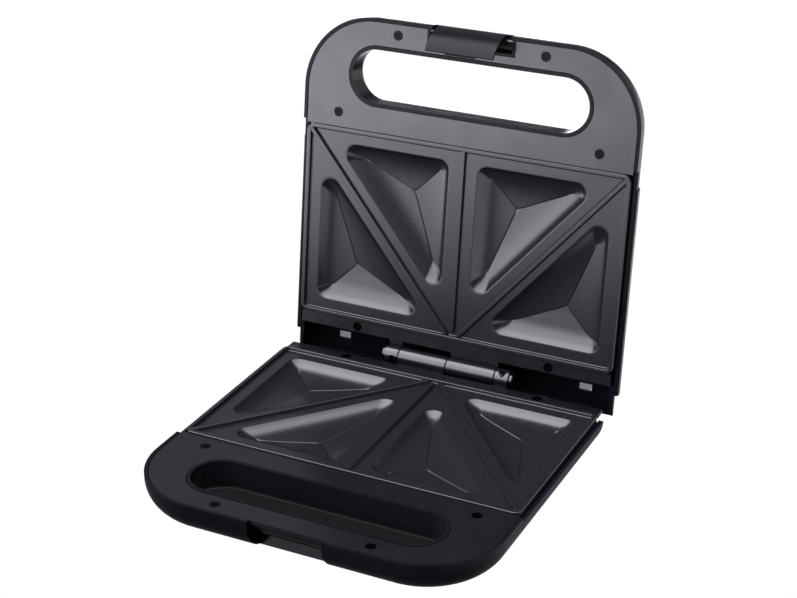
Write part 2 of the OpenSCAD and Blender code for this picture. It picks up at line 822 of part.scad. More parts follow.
// Form of one pocket: its walls curve down to three facets that meet at the
// middle. The outside of the bowl is the same form, wider and lower.
module pocket(outline, wider, lower, above) {
    steps = 8;
    middle = incentre(outline);
    reach = inradius(outline);
    ways = [for (k = [steps:-1:0]) (reach - 2) * pow(k / steps, 1.6)];
    radii = [for (d = ways) max(0.4, pocket_r * (1 - d / pocket_crease))];
    rings = [for (k = [0:steps]) rounded(inset(outline, ways[k] - wider), radii[k])];
    heights = [for (d = ways) land_z - lower - pocket_fall(1 - d / reach)];
    loft(concat(rings, [rings[steps]]), concat(heights, [land_z - lower + above]),
        [middle.x, middle.y, land_z - lower - pocket_fall(0)]);
}

function ridge_half() = [
    [0, land_z - 0.4],
    [ridge_w / 2, land_z - 0.4],
    [ridge_w / 2, land_z],
    [ridge_w / 4, ridge_top],
    [0, ridge_top]
];

module ridge(from, to) {
    along = unit(to - from);
    translate([from.x, from.y, 0]) rotate([0, 0, atan2(along.y, along.x)]) {
        rotate([90, 0, 90]) linear_extrude(norm(to - from)) {
            polygon(ridge_half());
            mirror([1, 0]) polygon(ridge_half());
        }
        rotate_extrude() polygon(ridge_half());
    }
}

module plate() {
    difference() {
        union() {
            translate([0, 0, plate_low]) linear_extrude(plate_t + rim_h)
                rounded_box(plate_w / 2, plate_front, -plate_back, plate_r);
            both_sides() for (t = [front_pocket, back_pocket]) pocket(t, 1.6, plate_t, 0.6);
            for (p = plate_screw_at) rod_z(p.x, p.y, shield_top + seat, plate_low + 0.6, plate_boss_r);
        }
        loft(
            [
                for (d = [rim_w + rim_slope, rim_w, rim_w]) rounded(
                    box_outline(plate_w / 2 - d, plate_front + d, -plate_back - d),
                    max(0.8, plate_r - d))
            ],
            [land_z, -plate_gap, 1]);
        both_sides() for (t = [front_pocket, back_pocket]) pocket(t, 0, 0, 0.4);
        for (p = plate_screw_at) rod_z(p.x, p.y, shield_top - past, plate_low - 1, shank_r + screw_fit);
    }
    both_sides() ridge(ridge_from, ridge_to);
    ridge([0, -plate_back - 7], [0, plate_front + rim_w]);
}

module base_plate() {
    color("#26272a") on_base() plate();
}

module lid_plate() {
    color("#26272a") on_lid() plate();
}

// ---------------------------------------------------------------- heating

module heater() {
    translate([0, 0, heater_z]) {
        both_sides() {
            rod_y(heater_x, heater_y + heater_bend, heater_back, 0, heater_r);
            rod_y(heater_x, heater_back - past, heater_back + 6, 0, wire_r + 0.2);
            translate([heater_x - heater_bend, heater_y + heater_bend, 0]) rotate([0, 0, -90])
                rotate_extrude(angle = 90) translate([heater_bend, 0]) circle(heater_r);
        }
        rod_x(heater_bend - heater_x, heater_x - heater_bend, heater_y, 0, heater_r);
    }
}

module heat_shield() {
    shield_x = inner_x(shield_low) - 4;
    difference() {
        union() {
            translate([0, 0, shield_low]) linear_extrude(shield_t)
                rounded_box(shield_x, plate_front + 1, -plate_back - 1.6, 4);
            for (y = [plate_front + 1, -plate_back - 1.6 - shield_t])
                block([-shield_x + 6, y, shield_low], [shield_x - 6, y + shield_t, shield_top + 2]);
        }
        for (p = plate_screw_at) rod_z(p.x, p.y, shield_low - past, shield_top + past, shank_r + 0.1);
    }
}

module base_heater() {
    color("#8c8d8c") on_base() heater();
}

module lid_heater() {
    color("#8c8d8c") on_lid() heater();
}

module base_heat_shield() {
    color("#b9bbbd") on_base() heat_shield();
}

module lid_heat_shield() {
    color("#b9bbbd") on_lid() heat_shield();
}

// ---------------------------------------------------------------- screws

module frame_screws() {
    head_low = deck_top - frame_t / 2 + seat;
    for (p = frame_screw_at) difference() {
        union() {
            rod_z(p.x, p.y, head_low, deck_top - 0.2, head_r);
            rod_z(p.x, p.y, head_low - frame_screw_l, head_low + 0.2, shank_r);
        }
        for (a = [45, 135]) translate([p.x, p.y, deck_top - 0.2]) rotate([0, 0, a])
            cube([head_r * 1.2, cross_w, 1], center = true);
    }
}

module plate_screws() {
    for (p = plate_screw_at) {
        rod_z(p.x, p.y, shield_low - seat - plate_head_h, shield_low - seat, head_r);
        rod_z(p.x, p.y, shield_low - seat - 0.2, shield_top + plate_screw_l, shank_r);
    }
}

module base_frame_screws() {
    color("#151517") on_base() frame_screws();
}

module lid_frame_screws() {
    color("#151517") on_lid() frame_screws();
}

module base_plate_screws() {
    color("#a0a2a4") on_base() plate_screws();
}

module lid_plate_screws() {
    color("#a0a2a4") on_lid() plate_screws();
}

// ---------------------------------------------------------------- feet

module foot(at) {
    color("#222222") on_base() {
        rod_z(at.x, at.y, -half_depth - foot_h, -half_depth - seat, foot_r);
        rod_z(at.x, at.y, -half_depth - 0.2, inner_floor + 0.5, foot_stem_r);
        rod_z(at.x, at.y, inner_floor + seat, inner_floor + 1.3, foot_stem_r + 0.9);
    }
}

module foot_front_left() {
    foot([-foot_front_at.x, foot_front_at.y]);
}

module foot_front_right() {
    foot(foot_front_at);
}

module foot_rear_left() {
    foot([-foot_rear_at.x, foot_rear_at.y]);
}

module foot_rear_right() {
    foot(foot_rear_at);
}

// ---------------------------------------------------------------- wiring

module cord_gland() {
    color("#1a1a1b") on_base() difference() {
        union() {
            rod_y(gland_x, 1, gland_face + 3.4, gland_z, gland_r);
            rod_y(gland_x, gland_face + seat, gland_face + 1.4, gland_z, gland_r + 1);
        }
        rod_y(gland_x, 0, gland_face + 5, gland_z, cord_r + 0.1);
    }
}

module cord_clamp() {
    color("#d8d4c8") on_base() difference() {
        block([gland_x - 9, clamp_y - 2.6, clamp_low], [gland_x + 9, clamp_y + 2.6, clamp_low + clamp_t]);
        for (side = [-1, 1])
            rod_z(gland_x + side * clamp_screw_x, clamp_y, -half_depth, 0, clamp_screw_r + 0.1);
    }
}

module clamp_screws() {
    color("#a0a2a4") on_base() for (side = [-1, 1]) {
        rod_z(
            gland_x + side * clamp_screw_x, clamp_y, clamp_low - 4,
            clamp_low + clamp_t + 0.2, clamp_screw_r);
        rod_z(
            gland_x + side * clamp_screw_x, clamp_y, clamp_low + clamp_t + seat,
            clamp_low + clamp_t + 1, 1.9);
    }
}

module terminal_block() {
    color("#e4e0d2") on_base() difference() {
        block(
            [terminal_x - terminal_pitch - terminal_side, -terminal_at - terminal_half, inner_floor + seat],
            [terminal_x + terminal_pitch + terminal_side, -terminal_at + terminal_half, terminal_top]);
        for (x = [-1:1]) translate([terminal_x + x * terminal_pitch, 0, 0]) {
            rod_z(0, -terminal_at, terminal_top - 2.4, terminal_top + past, terminal_hole_r);
            rod_y(
                0, -terminal_at - terminal_half - past, -terminal_at + terminal_half + past,
                terminal_bore_z, terminal_bore_r);
        }
    }
}

module thermostat() {
    color("#cfc9b8") on_base() {
        rod_z(0, thermostat_y, plate_low - seat - 2, plate_low - seat, disc_r);
        rod_z(0, thermostat_y, can_low, plate_low - seat - 1.8, can_r);
        for (x = [-tab_x, tab_x])
            block([x - 1.5, thermostat_y - 0.4, tab_low], [x + 1.5, thermostat_y + 0.4, can_low + 0.2]);
    }
}

module thermal_fuse() {
    color("#b08a3c") on_base() {
        rod_y(0, thermostat_y - 40, thermostat_y - 28, fuse_z, fuse_r);
        rod_y(0, thermostat_y - 46, thermostat_y - 22, fuse_z, 0.6);
    }
}

// Wire from the terminal at x along the back of the plate to a heater's pin.
module heater_wire(x, side, start_z) {
    start_y = -terminal_at - 0.2;
    pin = [side * heater_x, heater_back + 6.2, heater_z];
    wire(softened([
        [x, start_y, start_z], [x, start_y - 1, wire_z], [x + side * 5, wire_y, wire_z],
        [pin.x, wire_y, wire_z], pin
    ], 2));
}

module base_wiring() {
    start_y = -terminal_at - 0.2;
    level = can_low + 0.6;
    color("#8a2a22") on_base() {
        heater_wire(terminal_x - terminal_pitch, -1, wire_start);
        heater_wire(terminal_x + terminal_pitch, 1, wire_start);
        wire(softened([
            [terminal_x, start_y, wire_start], [terminal_x, start_y - 1, level],
            [tab_x + 1, start_y - 1.6, level], [tab_x, thermostat_y + 1.6, tab_z]
        ], 2));
        wire(softened([
            [-tab_x, thermostat_y - 1.6, tab_z], [-tab_x, thermostat_y - can_r - 3.4, tab_z],
            [0, thermostat_y - can_r - 8.4, fuse_z], [0, thermostat_y - 21.8, fuse_z]
        ], 2));
    }
}

module lid_wiring() {
    start_y = -terminal_at - 0.2;
    color("#8a2a22") on_lid() {
        heater_wire(terminal_x - terminal_pitch, -1, wire_z + 0.6);
        heater_wire(terminal_x + terminal_pitch, 1, wire_z + 0.6);
        for (side = [-1, 1])
            wire(softened([
                [side * 5, start_y, lamp_wire_z], [side * 3, -plate_back - 4.6, lamp_wire_z],
                [side * 3, plate_front - 2, lamp_wire_z],
                [side * lens_x, lens_y, lamp_end + 2], [side * lens_x, lens_y, lamp_end]
            ], 1));
    }
}

// ---------------------------------------------------------------- indicators

module lens(x) {
    rod_z(x, lens_y, -half_depth - 0.7, inner_floor + 0.5, lens_r);
    rod_z(x, lens_y, inner_floor + seat, inner_floor + 1.2, lens_r + 1);
}

module lamp(x) {
    rod_z(x, lens_y, inner_floor + 1.25, lamp_end - seat, lamp_r);
}

module power_lens() {
    color("#c0201a") on_lid() lens(-lens_x);
}

module ready_lens() {
    color("#2a9a3c") on_lid() lens(lens_x);
}

module power_lamp() {
    color("#e8e2d6") on_lid() lamp(-lens_x);
}

module ready_lamp() {
    color("#e8e2d6") on_lid() lamp(lens_x);
}

// ---------------------------------------------------------------- hinge pin

module hinge_pin() {
    head_x = -hinge_half - pin_head_gap;
    color("#55575a") on_base() {
        rod_x(head_x - pin_head_t, hinge_half + pin_head_gap + pin_head_t + 0.4, 0, 0, pin_r);
        rod_x(head_x - pin_head_t, head_x, 0, 0, pin_head_r);
    }
}

module hinge_pin_cap() {
    color("#55575a") on_base() difference() {
        rod_x(hinge_half + pin_head_gap, hinge_half + pin_head_gap + pin_head_t, 0, 0, pin_head_r);
        rod_x(hinge_half, hinge_half + pin_head_gap + pin_head_t + past, 0, 0, pin_r + screw_fit);
    }
}

// ---------------------------------------------------------------- latch

module latch_pin() {
    color("#8f9194") on_closed_lid()
        rod_x(0.7 - latch_box.x, latch_box.x - 0.7, latch_axis.x, latch_axis.y, latch_pin_r);
}

module latch() {
    color("#202023") on_closed_lid() difference() {
        union() {
            across(latch_w / 2) {
                intersection() {
                    translate(latch_centre) circle(latch_r);
                    latch_sector(latch_inner, 2, latch_end);
                }
                translate(latch_axis) circle(latch_barrel_r);
                translate([latch_axis.x - 3, latch_axis.y - 1.6]) square([3, 2.6]);
            }
            across(hook_w / 2) intersection() {
                translate(latch_centre) circle(latch_r - latch_t / 2);
                latch_sector(latch_inner - hook_l, hook_from, latch_end);
            }
        }
        rod_x(-latch_w, latch_w, latch_axis.x, latch_axis.y, latch_pin_r + pin_fit);
    }
}

// ---------------------------------------------------------------- assembly

base_shell();
base_frame();
base_plate();
base_heater();
base_heat_shield();
base_frame_screws();
base_plate_screws();
foot_front_left();
foot_front_right();
foot_rear_left();
foot_rear_right();
cord_gland();
cord_clamp();
clamp_screws();
terminal_block();
thermostat();
thermal_fuse();
base_wiring();
hinge_pin();
hinge_pin_cap();
lid_shell();
lid_panel();
lid_frame();
lid_plate();
lid_heater();
lid_heat_shield();
lid_frame_screws();
lid_plate_screws();
power_lens();
ready_lens();
power_lamp();
ready_lamp();
lid_wiring();
latch_pin();
latch();
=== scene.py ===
"""Looks of the open sandwich toaster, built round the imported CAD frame.

Each CAD node keeps its shape and gets a material. The two plates are replaced with finer
ones, which have soft pocket walls and crease lines. The sizes of the plates and of the
soft edges are in millimetres. The studio's places are in metres.
"""

import json
import math

import bmesh
import bpy
from mathutils import Matrix, Vector
from mathutils.geometry import tessellate_polygon

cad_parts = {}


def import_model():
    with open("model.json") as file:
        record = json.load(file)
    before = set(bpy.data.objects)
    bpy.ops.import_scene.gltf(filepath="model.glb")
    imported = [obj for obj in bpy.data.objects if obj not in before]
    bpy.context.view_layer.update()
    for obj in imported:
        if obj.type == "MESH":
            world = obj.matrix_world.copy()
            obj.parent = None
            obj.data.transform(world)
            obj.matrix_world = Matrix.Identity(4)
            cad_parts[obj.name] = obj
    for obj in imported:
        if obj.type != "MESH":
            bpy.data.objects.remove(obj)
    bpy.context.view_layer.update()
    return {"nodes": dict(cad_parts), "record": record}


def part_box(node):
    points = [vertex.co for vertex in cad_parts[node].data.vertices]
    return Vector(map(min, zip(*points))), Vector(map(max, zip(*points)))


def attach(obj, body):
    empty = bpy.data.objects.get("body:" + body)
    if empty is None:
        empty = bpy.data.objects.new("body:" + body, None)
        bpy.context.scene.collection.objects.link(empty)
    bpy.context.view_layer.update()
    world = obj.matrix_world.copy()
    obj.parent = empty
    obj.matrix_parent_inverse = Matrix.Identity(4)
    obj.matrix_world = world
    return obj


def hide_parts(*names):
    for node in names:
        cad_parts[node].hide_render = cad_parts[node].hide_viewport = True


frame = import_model()
nodes = frame["nodes"]

MM = 0.001

# Share of the studio's light that rays get after their first reflection
SECOND_BOUNCE = 0.1
# Ray Depth of the first reflection: Cycles counts a hit on the world one deeper
FIRST_ON_MESH = 1
FIRST_ON_WORLD = 2


# ---------------------------------------------------------------- node trees

class Nodes:
    """A node tree, with short calls that add and link nodes."""

    def __init__(self, tree):
        self.tree = tree

    def add(self, kind, **settings):
        node = self.tree.nodes.new(kind)
        for key, value in settings.items():
            setattr(node, key, value)
        return node

    def link(self, source, target):
        self.tree.links.new(source, target)

    def feed(self, value, socket):
        """Puts a number or another node's output into the socket."""
        if isinstance(value, (int, float)):
            socket.default_value = value
        else:
            self.link(value, socket)

    def span(self, value, low, high, to_low=0.0, to_high=1.0, kind="LINEAR"):
        """Carries low to to_low and high to to_high, and stops at both."""
        node = self.add("ShaderNodeMapRange", interpolation_type=kind)
        node.inputs["From Min"].default_value = low
        node.inputs["From Max"].default_value = high
        node.inputs["To Min"].default_value = to_low
        node.inputs["To Max"].default_value = to_high
        self.link(value, node.inputs["Value"])
        return node.outputs["Result"]

    def smooth(self, value, low, high):
        """0 at low, 1 at high, and a soft step between them. High may be the lesser."""
        return self.span(value, low, high, kind="SMOOTHSTEP")

    def along(self, vector, direction):
        node = self.add("ShaderNodeVectorMath", operation="DOT_PRODUCT")
        node.inputs[1].default_value = direction
        self.link(vector, node.inputs[0])
        return node.outputs["Value"]

    def length(self, vector):
        node = self.add("ShaderNodeVectorMath", operation="LENGTH")
        self.link(vector, node.inputs[0])
        return node.outputs["Value"]

    def math(self, operation, a, b):
        node = self.add("ShaderNodeMath", operation=operation)
        for value, socket in zip((a, b), node.inputs):
            self.feed(value, socket)
        return node.outputs["Value"]

    def product(self, *values):
        result = values[0]
        for value in values[1:]:
            result = self.math("MULTIPLY", result, value)
        return result

    def total(self, *values):
        result = values[0]
        for value in values[1:]:
            result = self.math("ADD", result, value)
        return result

    def first_bounce(self, first):
        """1 up to the first reflection, SECOND_BOUNCE after it: deep corners stay dark.

        Depths are whole numbers, so the step only has to lie between two of them.
        """
        depth = self.add("ShaderNodeLightPath").outputs["Ray Depth"]
        return self.span(depth, first + 0.4, first + 0.6, 1.0, SECOND_BOUNCE)

    def to_camera(self, seen, mirrored):
        """Seen for rays straight from the camera, mirrored for all others."""
        pick = self.add("ShaderNodeMix")
        self.link(self.add("ShaderNodeLightPath").outputs["Is Camera Ray"], pick.inputs["Factor"])
        self.feed(mirrored, pick.inputs["A"])
        self.feed(seen, pick.inputs["B"])
        return pick.outputs["Result"]


class Graph(Nodes):
    """A material, with its detail worked out from the place on the object."""

    def __init__(self, name):
        self.mat = bpy.data.materials.new(name)
        self.mat.use_nodes = True
        super().__init__(self.mat.node_tree)
        self.shader = self.tree.nodes["Principled BSDF"]
        self.place = self.add("ShaderNodeTexCoord").outputs["Object"]

    def into(self, socket, source):
        self.link(source, self.shader.inputs[socket])

    def fixed(self, socket, value):
        self.shader.inputs[socket].default_value = value

    def noise(self, scale, detail=3.0, rough=0.55, place=None):
        node = self.add("ShaderNodeTexNoise")
        node.inputs["Scale"].default_value = scale
        node.inputs["Detail"].default_value = detail
        node.inputs["Roughness"].default_value = rough
        self.link(place or self.place, node.inputs["Vector"])
        return node.outputs["Fac"]

    def specks(self, scale):
        """Distance from the nearest of many scattered points."""
        node = self.add("ShaderNodeTexVoronoi")
        node.inputs["Scale"].default_value = scale
        self.link(self.place, node.inputs["Vector"])
        return node.outputs["Distance"]

    def stretched(self, scales):
        """The place on the object, with each axis scaled by itself."""
        node = self.add("ShaderNodeMapping")
        node.inputs["Scale"].default_value = scales
        self.link(self.place, node.inputs["Vector"])
        return node.outputs["Vector"]

    def colour(self, value, *stops):
        """Base colour that follows the value along (value, colour) stops."""
        node = self.add("ShaderNodeValToRGB")
        ramp = node.color_ramp
        for element, (at, colour) in zip(ramp.elements, stops):
            element.position = at
            element.color = (*colour, 1.0)
        self.link(value, node.inputs["Fac"])
        self.into("Base Color", node.outputs["Color"])

    def roughness(self, noise, low, high):
        self.into("Roughness", self.span(noise, NOISE_LOW, NOISE_HIGH, low, high))

    def relief(self, noise, height):
        """Bumps of the given height, in metres, where the noise is high."""
        node = self.add("ShaderNodeBump")
        node.inputs["Distance"].default_value = height
        self.link(noise, node.inputs["Height"])
        self.into("Normal", node.outputs["Normal"])


# ---------------------------------------------------------------- materials

# A noise texture keeps between these values nearly everywhere
NOISE_LOW, NOISE_HIGH = 0.3, 0.7

# Moulded plastic: its slow changes of tone and of gloss
TONE_SCALE, TONE_DETAIL = 14.0, 4.0
TONE_LIGHT = 0.75
GLOSS_SCALE, GLOSS_DETAIL = 60.0, 5.0
GRAIN_DETAIL = 2.0

# Non-stick coating: its flecks, the smears in its gloss, and its grain
FLECK_COLOUR, GROUND_COLOUR = (0.03, 0.031, 0.035), (0.006, 0.0062, 0.0076)
FLECK_SCALE, FLECK_R = 2400.0, 0.3
SMEAR_SCALE = 900.0
COATED_ROUGH = (0.18, 0.27)
COATED_GRAIN = 0.000016

# Metal: its streaks, and how far they change its tone and gloss
STREAK_SCALE, STREAK_ROUGH = 900.0, 0.5
STREAK_TONE = 0.8
STREAK_GLOSSY, STREAK_DULL = 0.06, 0.08
STREAK_HEIGHT = 0.00001

# Lenses
LENS_TONE_SCALE, LENS_GLOSS_SCALE = 220.0, 120.0
LENS_TONE = 0.6
LENS_ROUGH = (0.06, 0.14)
LENS_CLEAR = 0.6


def dimmed(colour, share):
    return tuple(share * channel for channel in colour)


def moulded(name, dark, light, rough, grain=0.00002, scale=2600.0, wear=0.06, gloss=0.5):
    """Moulded plastic: a fine grain, and slow changes of tone and gloss."""
    paint = Graph(name)
    paint.fixed("Specular IOR Level", gloss)
    paint.colour(paint.noise(TONE_SCALE, TONE_DETAIL), (NOISE_LOW, dark), (TONE_LIGHT, light))
    paint.roughness(paint.noise(GLOSS_SCALE, GLOSS_DETAIL), rough - wear, rough + wear)
    paint.relief(paint.noise(scale, GRAIN_DETAIL), grain)
    return paint.mat


def coated(name):
    """Non-stick coating: charcoal with fine flecks and a soft sheen."""
    paint = Graph(name)
    paint.colour(paint.specks(FLECK_SCALE), (0.0, FLECK_COLOUR), (FLECK_R, GROUND_COLOUR))
    paint.roughness(paint.noise(SMEAR_SCALE), *COATED_ROUGH)
    paint.relief(paint.noise(FLECK_SCALE), COATED_GRAIN)
    return paint.mat


def metal(name, colour, rough, brushed=(1.0, 1.0, 1.0)):
    """Metal, with streaks along the axis whose share in brushed is below 1."""
    paint = Graph(name)
    streaks = paint.noise(STREAK_SCALE, rough=STREAK_ROUGH, place=paint.stretched(brushed))
    paint.colour(streaks, (NOISE_LOW, dimmed(colour, STREAK_TONE)), (NOISE_HIGH, colour))
    paint.roughness(streaks, rough - STREAK_GLOSSY, rough + STREAK_DULL)
    paint.relief(streaks, STREAK_HEIGHT)
    paint.fixed("Metallic", 1.0)
    return paint.mat


def lens_glass(name, colour):
    """Coloured plastic that lets its lamp show through."""
    paint = Graph(name)
    tone = paint.noise(LENS_TONE_SCALE)
    paint.colour(tone, (NOISE_LOW, dimmed(colour, LENS_TONE)), (NOISE_HIGH, colour))
    paint.roughness(paint.noise(LENS_GLOSS_SCALE), *LENS_ROUGH)
    paint.fixed("Transmission Weight", LENS_CLEAR)
    return paint.mat


shell_black = moulded(
    "shell_black", dark=(0.0028, 0.003, 0.0042), light=(0.0045, 0.0048, 0.0065),
    rough=0.16, gloss=0.07)
frame_satin = moulded(
    "frame_satin", dark=(0.0025, 0.0027, 0.0038), light=(0.0038, 0.0041, 0.0055),
    rough=0.22, wear=0.03, gloss=0.6)
panel_black = moulded(
    "panel_black", dark=(0.008, 0.008, 0.009), light=(0.011, 0.011, 0.012),
    rough=0.26, wear=0.02)
latch_black = moulded(
    "latch_black", dark=(0.004, 0.004, 0.0048), light=(0.006, 0.006, 0.0072),
    rough=0.2, gloss=0.08)
rubber = moulded(
    "rubber", dark=(0.02, 0.02, 0.02), light=(0.035, 0.035, 0.035),
    rough=0.7, grain=0.00004, scale=1400.0)
ceramic = moulded(
    "ceramic", dark=(0.62, 0.59, 0.5), light=(0.74, 0.71, 0.62),
    rough=0.45, grain=0.00003, scale=900.0)
insulation = moulded(
    "insulation", dark=(0.2, 0.02, 0.014), light=(0.3, 0.035, 0.02), rough=0.5)
lamp_white = moulded(
    "lamp_white", dark=(0.7, 0.68, 0.62), light=(0.8, 0.78, 0.72), rough=0.2)
nonstick = coated("nonstick")
pin_steel = metal("pin_steel", (0.05, 0.05, 0.053), rough=0.24, brushed=(0.05, 1.0, 1.0))
screw_black = metal("screw_black", (0.008, 0.008, 0.0085), rough=0.2)
zinc = metal("zinc", (0.62, 0.63, 0.62), rough=0.35)
aluminium = metal("aluminium", (0.72, 0.72, 0.73), rough=0.4, brushed=(1.0, 0.1, 1.0))
brass = metal("brass", (0.55, 0.4, 0.16), rough=0.35)
tube = metal("tube", (0.33, 0.33, 0.34), rough=0.42)
red_lens = lens_glass("red_lens", (0.7, 0.03, 0.02))
green_lens = lens_glass("green_lens", (0.04, 0.5, 0.09))

FINISHES = [
    (shell_black, ["base_shell", "lid_shell"]),
    (frame_satin, ["base_frame", "lid_frame"]),
    (panel_black, ["lid_panel"]),
    (latch_black, ["latch"]),
    (nonstick, ["base_plate", "lid_plate"]),
    (screw_black, ["base_frame_screws", "lid_frame_screws"]),
    (zinc, ["base_plate_screws", "lid_plate_screws", "clamp_screws"]),
    (pin_steel, ["hinge_pin", "hinge_pin_cap", "latch_pin"]),
    (rubber, [
        "foot_front_left", "foot_front_right", "foot_rear_left", "foot_rear_right",
        "cord_gland"]),
    (tube, ["base_heater", "lid_heater"]),
    (aluminium, ["base_heat_shield", "lid_heat_shield"]),
    (ceramic, ["cord_clamp", "terminal_block", "thermostat"]),
    (brass, ["thermal_fuse"]),
    (insulation, ["base_wiring", "lid_wiring"]),
    (red_lens, ["power_lens"]),
    (green_lens, ["ready_lens"]),
    (lamp_white, ["power_lamp", "ready_lamp"]),
]


# ---------------------------------------------------------------- plates

# A plate is drawn closed, as the base's plate: y from the hinge axis, negative to the
# front, and z from the hinge axis too. The lid's plate is the same one, turned over.
hinge = frame["record"]["behaviour"]["joints"][0]
HINGE_Y, HINGE_Z = hinge["pos_m"][1] / MM, hinge["pos_m"][2] / MM
OPEN = math.radians(hinge["range_deg"][1])

plate_low, plate_high = (Vector(corner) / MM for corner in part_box("base_plate"))
PLATE_HALF = (plate_high.x - plate_low.x) / 2
PLATE_FRONT = plate_low.y - HINGE_Y
PLATE_REAR = plate_high.y - HINGE_Y
PLATE_R = 5.0
PLATE_T = 2.5

# Rim round the plate: its height over the land, its width, the run of its inner slope,
# the rounding of its edges and of its foot, and the least radius of its inner corners
RIM_TOP = plate_high.z - HINGE_Z
RIM_H = 2.2
RIM_W = 2.6
RIM_RUN = 0.25
RIM_EDGE_R = 0.45
RIM_FOOT_R = 0.6
RIM_CORNER_R = 0.8
LAND = RIM_TOP - RIM_H
UNDERSIDE = LAND - PLATE_T

# Screw bosses under the plate: how far they reach up into it and how far below it their
# holes stop. Their middles lie SIDE and END from the plate's side and nearer end.
BOSS_END = plate_low.z - HINGE_Z
BOSS_R, BOSS_HOLE_R = 3.2, 1.53
BOSS_SINK = 0.4
BOSS_HOLE_STOP = 1.0
BOSS_SIDES = 24
REAR_BOSS_SIDE, REAR_BOSS_END = 50, 5.8
FRONT_BOSS_SIDE, FRONT_BOSS_END = 15, 5

# Ridges between the pockets: half widths at the foot and of the flat top, the rounding
# of the top's edges, and how far the foot flares and sinks into the land
RIDGE_HALF = 2.0
RIDGE_FLAT_HALF = 0.95
RIDGE_EDGE_R = 0.3
RIDGE_FLARE = 0.1
RIDGE_SINK = 0.4
RIDGE_BELOW_RIM = 0.1
RIDGE_TOP = RIM_TOP - RIDGE_BELOW_RIM
RIDGE_END_STEPS = 8

# Ends of the right slanting ridge, from the plate's middle or side and from its ends,
# and the rear end of the middle ridge
SLANT_REAR_X, SLANT_REAR_END = 4.5, 4
SLANT_FRONT_SIDE, SLANT_FRONT_END = 3.5, 4.1
MIDDLE_RIDGE_END = 7

# How far the sides of the pockets, before rounding, lie from what is beside them
FRONT_POCKET_TO_SLANT = 8.4
FRONT_POCKET_TO_MIDDLE = 9.8
FRONT_POCKET_TO_FRONT = 10.3
BACK_POCKET_TO_SLANT = 6.8
BACK_POCKET_TO_SIDE = 11
BACK_POCKET_TO_REAR = 10.5

# Walls and floor of a pocket. A wall falls as the mean of two powers, a slow one and a
# quick one, and the floor dips a little more to the middle.
POCKET_R = 7.0
POCKET_DEPTH = 5.8
FLOOR_DIP = 1.0
SLOW_POWER, QUICK_POWER = 2.5, 9
SHELL_OUT = 1.6

# Rings of a pocket: their number inside and under the plate, how they crowd to the rim,
# how near they come to the middle, and the rounded lip that replaces the first of them,
# as (share of LIP towards the middle, drop below the land)
INSIDE_STEPS, SHELL_STEPS = 20, 8
CROWDING = 1.5
TIP_REACH = 1.6
LIP = 0.7
LIP_ROWS = ((-1.0, 0.0), (-0.45, 0.03), (0.0, 0.12), (0.25, 0.3))
LIP_REPLACES = 3

# Creases: the corners of a pocket shrink to CREASE_R over CREASE_RUN, and over the last
# part of that run, after CREASE_FROM of it, they sink by CREASE_DEPTH
CREASE_RUN = 10.0
CREASE_R = 0.45
CREASE_FROM = 0.6
CREASE_DEPTH = 0.45

# Roundings: angle from and to, and steps between them
CORNER_STEPS = 8
RIM_OUTER_ARC = (0.3, math.pi / 2, 4)
RIM_INNER_ARC = (0.0, 1.2, 4)
RIM_FOOT_ARC = (0.4, math.pi / 2, 4)
RIDGE_ARC = (0.4, math.pi / 2, 3)

# Faces that meet at less than this angle are shaded as one
SMOOTH_BELOW = math.radians(24)


def flat(x, y):
    return Vector((x, y))


def around(centre, angle, radius):
    return centre + flat(math.cos(angle), math.sin(angle)) * radius


def arc(from_angle, to_angle, steps):
    return [from_angle + (to_angle - from_angle) * k / steps for k in range(steps + 1)]


def rounded(corners, radius):
    """Outline, given anticlockwise, with every corner rounded."""
    points = []
    for i, corner in enumerate(corners):
        before = (corners[i - 1] - corner).normalized()
        after = (corners[(i + 1) % len(corners)] - corner).normalized()
        half = before.angle(after) / 2
        centre = corner + (before + after).normalized() * radius / math.sin(half)
        first = corner + before * radius / math.tan(half) - centre
        start = math.atan2(first.y, first.x)
        turn = math.pi - 2 * half
        for k in range(CORNER_STEPS + 1):
            points.append(around(centre, start + turn * k / CORNER_STEPS, radius))
    return points


def plate_outline(d, radius):
    """The plate's outline, d inside its edge."""
    x, front, rear = PLATE_HALF - d, PLATE_FRONT + d, PLATE_REAR - d
    return rounded([flat(-x, front), flat(x, front), flat(x, rear), flat(-x, rear)], radius)


def incentre(triangle):
    a, b, c = triangle
    sides = [(c - b).length, (a - c).length, (b - a).length]
    return sum((corner * side for corner, side in zip(triangle, sides)), flat(0, 0)) / sum(sides)


def inradius(triangle):
    a, b = triangle[1] - triangle[0], triangle[2] - triangle[0]
    return abs(a.cross(b)) / (a.length + b.length + (a - b).length)


def inset(triangle, d):
    middle, scale = incentre(triangle), 1 - d / inradius(triangle)
    return [middle + (corner - middle) * scale for corner in triangle]


class Surface:
    """Vertices and faces of one piece, gathered ring by ring."""

    def __init__(self):
        self.verts, self.faces = [], []

    def point(self, p, z):
        self.verts.append((p.x, p.y, z))
        return len(self.verts) - 1

    def ring(self, points, z):
        return [self.point(p, z) for p in points]

    def band(self, low, high):
        n = len(low)
        self.faces += [(low[i], low[(i + 1) % n], high[(i + 1) % n], high[i]) for i in range(n)]

    def rings(self, rows):
        for low, high in zip(rows, rows[1:]):
            self.band(low, high)

    def close(self, ring, tip):
        self.faces += [(ring[i], ring[(i + 1) % len(ring)], tip) for i in range(len(ring))]

    def sheet(self, outer, holes, up):
        """Flat face inside the outer ring and outside the holes."""
        loops = [outer] + holes
        order = [i for loop in loops for i in loop]
        flat_loops = [[Vector((*self.verts[i][:2], 0.0)) for i in loop] for loop in loops]
        for triangle in tessellate_polygon(flat_loops):
            face = tuple(order[i] for i in triangle)
            a, b, c = (Vector(self.verts[i][:2]) for i in face)
            self.faces.append(face if ((b - a).cross(c - a) > 0) == up else face[::-1])


